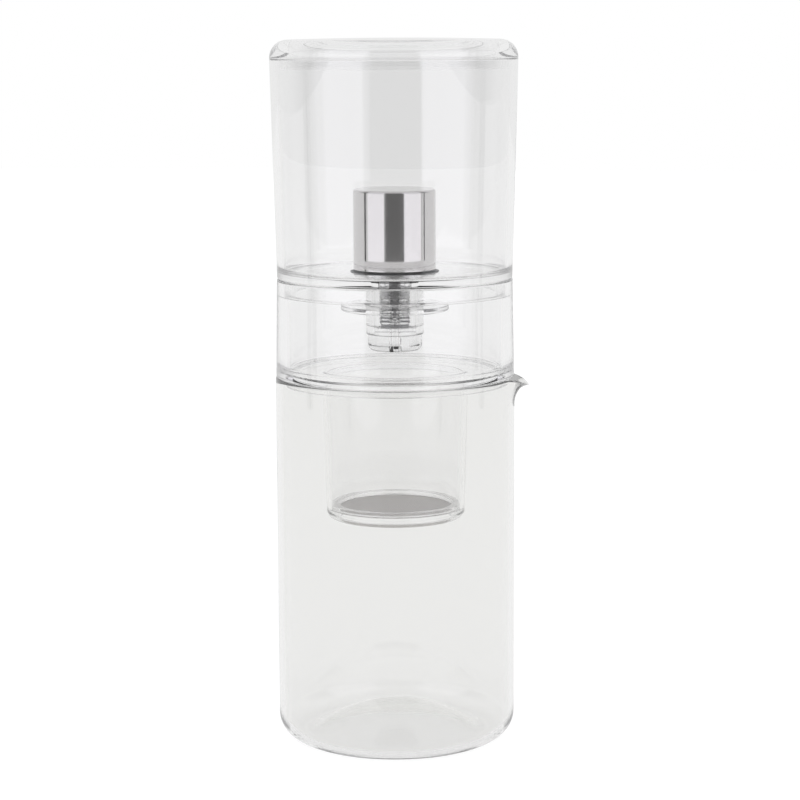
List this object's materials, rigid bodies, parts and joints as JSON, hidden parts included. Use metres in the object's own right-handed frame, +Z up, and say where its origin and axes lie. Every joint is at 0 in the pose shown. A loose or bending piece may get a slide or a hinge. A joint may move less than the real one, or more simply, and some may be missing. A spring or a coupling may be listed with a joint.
{
  "type": "cold brew coffee maker",
  "caption": "Slow-drip cold brew coffee maker: clear lidded water tank with a steel drip knob, over a clear mesh filter cup that hangs in a spouted glass carafe.",
  "frame": {"origin": "on the table, on the turning axis of the carafe", "axes": "+Z up along the turning axis, +X towards the carafe's pouring spout"},
  "size_m": [0.106, 0.1014, 0.2913],
  "materials": {
    "carafe_glass": "polished",
    "clear_plastic": "polished",
    "polished_steel": "polished",
    "steel_mesh": "woven",
    "turned_steel": "satin",
    "dark_seal": "matte",
    "clear_seal": "matte",
    "insert_plastic": "matte"
  },
  "bodies": {
    "carafe": {"carafe": "carafe_glass"},
    "filter_unit": {"filter_holder": "clear_plastic", "filter_mesh": "steel_mesh", "mesh_ring": "clear_plastic"},
    "tank": {"water_tank": "clear_plastic", "valve_gasket": "dark_seal", "valve_body": "clear_plastic", "spindle_ring": "dark_seal", "nut_washer": "clear_seal", "valve_nut": "clear_plastic", "nozzle_seal": "clear_seal", "drip_nozzle": "clear_plastic"},
    "lid": {"lid": "clear_plastic"},
    "spindle": {"needle_spindle": "turned_steel"},
    "knob": {"valve_knob": "polished_steel", "knob_insert": "insert_plastic"}
  },
  "joints": [
    {"name": "filter_lift", "type": "slide", "parent": "carafe", "child": "filter_unit", "axis": [0, 0, 1], "range_m": [0, 0.08]},
    {"name": "tank_lift", "type": "slide", "parent": "filter_unit", "child": "tank", "axis": [0, 0, 1], "range_m": [0, 0.045]},
    {"name": "lid_lift", "type": "slide", "parent": "tank", "child": "lid", "axis": [0, 0, 1], "range_m": [0, 0.03]},
    {"name": "needle_lift", "type": "slide", "parent": "tank", "child": "spindle", "axis": [0, 0, 1], "range_m": [0, 0.00152]},
    {"name": "knob_turn", "type": "hinge", "parent": "spindle", "child": "knob", "pos_m": [0, 0, 0.214], "axis": [0, 0, 1], "range_deg": [0, 540]}
  ],
  "couplings": [
    {"joint": "needle_lift", "follows": "knob_turn", "m_per_rad": 0.00015915}
  ]
}
